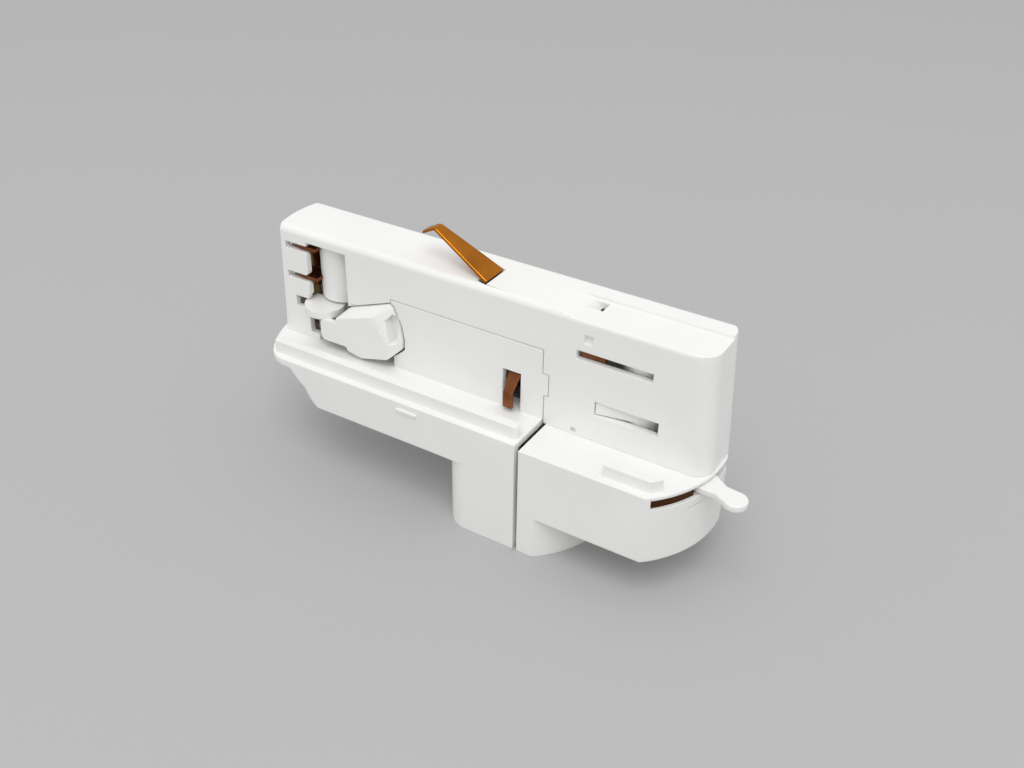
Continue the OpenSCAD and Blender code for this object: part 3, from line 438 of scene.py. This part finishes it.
class ADAPTER_OT_lever(bpy.types.Operator):
    """Rounds the lever and the turning mouldings"""

    bl_idname = "adapter.lever"
    bl_label = "Lever and rotors"

    def execute(self, context):
        finish = context.scene.adapter_finish
        soften("lock_lever", finish.lever_edge, segments=4)
        for node in ("lock_rotor", "phase_rotor", "link_bar"):
            paint(frame["nodes"][node], slot_of(node))
        return {"FINISHED"}


class ADAPTER_OT_contacts(bpy.types.Operator):
    """Rounds the stamped edges of contacts and leaves"""

    bl_idname = "adapter.contacts"
    bl_label = "Contacts and leaves"

    def execute(self, context):
        finish = context.scene.adapter_finish
        for node in (
            "upper_phase_contact", "lower_phase_contact", "far_phase_contact", "neutral_blade",
            "side_earth_leaf",
        ):
            soften(node, finish.metal_edge)
        soften("top_earth_leaf", finish.leaf_edge, segments=4, upper=True)
        return {"FINISHED"}


class ADAPTER_OT_inner(bpy.types.Operator):
    """Gives the fixings and inner pieces their materials"""

    bl_idname = "adapter.inner"
    bl_label = "Fixings and inner pieces"

    def execute(self, context):
        for node in (
            "thread_bush", "clamp_screws", "case_screws", "terminal_block", "terminal_cages",
            "terminal_screws", "earth_bus", "neutral_wiper", "phase_wiper", "catch_pin",
            "catch_spring", "selector_dial", "selector_wiper",
        ):
            paint(frame["nodes"][node], slot_of(node))
        # The lever's band gets the darkened copper, which is painted shade of its deep slot
        paint(frame["nodes"]["lever_spring"], "shaded_copper_band")
        return {"FINISHED"}


def studio_floor(stage):
    """A wide plain floor under the boss."""
    bpy.ops.object.select_all(action="DESELECT")
    bpy.ops.mesh.primitive_plane_add(size=FLOOR_SIZE, location=(0, 0, CAD_BOX[0].z))
    floor = bpy.context.object
    floor.name = "studio_floor"
    material, tree, place, surface = new_material("painted board, matt")
    speck = add_node(
        tree, "ShaderNodeTexNoise", [("Vector", place, "Object")],
        Scale=per_metre(FLOOR_SPECK), Detail=2.0,
    )
    tone = tone_ramp(tree, speck, shade(stage.floor, 0.99), stage.floor, ends=(0, 1))
    surface.inputs["Roughness"].default_value = 0.9
    surface.inputs["Specular IOR Level"].default_value = 0.1
    tree.links.new(tone.outputs["Color"], surface.inputs["Base Color"])
    floor.data.materials.append(material)


def lamp(name, place, aim, size, power):
    """A square soft lamp that points at a spot."""
    bpy.ops.object.light_add(type="AREA", location=place)
    light = bpy.context.object
    light.name = name
    light.data.size = size
    light.data.energy = power
    light.rotation_euler = (Vector(aim) - Vector(place)).to_track_quat("-Z", "Y").to_euler()


def studio_camera(stage):
    """The camera at the photograph's angle."""
    bpy.ops.object.camera_add(location=stage.place)
    camera = bpy.context.object
    camera.name = "studio_camera"
    a, e = stage.azimuth, stage.elevation
    right = Vector((math.cos(a), math.sin(a), 0))
    up = Vector((-math.sin(a) * math.sin(e), math.cos(a) * math.sin(e), math.cos(e)))
    back = right.cross(up)
    turn = Matrix.Rotation(stage.roll, 3, back)
    axes = Matrix((turn @ right, turn @ up, back)).transposed()
    camera.rotation_euler = axes.to_euler()
    camera.data.sensor_width = SENSOR_W
    camera.data.lens = stage.focal
    camera.data.clip_start = NEAR_CLIP
    bpy.context.scene.camera = camera


class ADAPTER_OT_stage(bpy.types.Operator):
    """Sets the floor, the lights and the camera"""

    bl_idname = "adapter.stage"
    bl_label = "Stage"

    def execute(self, context):
        stage = context.scene.adapter_stage
        studio_floor(stage)
        middle = (CAD_BOX[0] + CAD_BOX[1]) / 2
        lamp("key_lamp", middle + KEY_OFFSET, middle, KEY_SIZE, stage.key)
        world = bpy.data.worlds.new("studio_sky")
        world.use_nodes = True
        sky = world.node_tree.nodes["Background"]
        sky.inputs["Color"].default_value = (1, 1, 1, 1)
        sky.inputs["Strength"].default_value = stage.sky
        context.scene.world = world
        context.scene.view_settings.view_transform = "Standard"
        studio_camera(stage)
        return {"FINISHED"}


class ADAPTER_PT_panel(bpy.types.Panel):
    """Lists the adapter's operators and settings"""

    bl_idname = "ADAPTER_PT_panel"
    bl_label = "Track light adapter"
    bl_space_type = "VIEW_3D"
    bl_region_type = "UI"
    bl_category = "Adapter"

    def draw(self, context):
        for operator in OPERATORS:
            self.layout.operator(operator.bl_idname)
        for group in (context.scene.adapter_finish, context.scene.adapter_stage):
            column = self.layout.column()
            for name in group.__annotations__:
                column.prop(group, name)


OPERATORS = (
    ADAPTER_OT_case, ADAPTER_OT_lever, ADAPTER_OT_contacts, ADAPTER_OT_inner, ADAPTER_OT_stage,
)
CLASSES = (AdapterFinish, AdapterStage, *OPERATORS, ADAPTER_PT_panel)


def register():
    for cls in CLASSES:
        bpy.utils.register_class(cls)
    bpy.types.Scene.adapter_finish = PointerProperty(type=AdapterFinish)
    bpy.types.Scene.adapter_stage = PointerProperty(type=AdapterStage)


def unregister():
    del bpy.types.Scene.adapter_finish
    del bpy.types.Scene.adapter_stage
    for cls in reversed(CLASSES):
        bpy.utils.unregister_class(cls)


def main():
    register()
    make_materials(bpy.context.scene.adapter_finish)
    bpy.ops.adapter.case()
    bpy.ops.adapter.lever()
    bpy.ops.adapter.contacts()
    bpy.ops.adapter.inner()
    bpy.ops.adapter.stage()


if __name__ == "__main__":
    main()
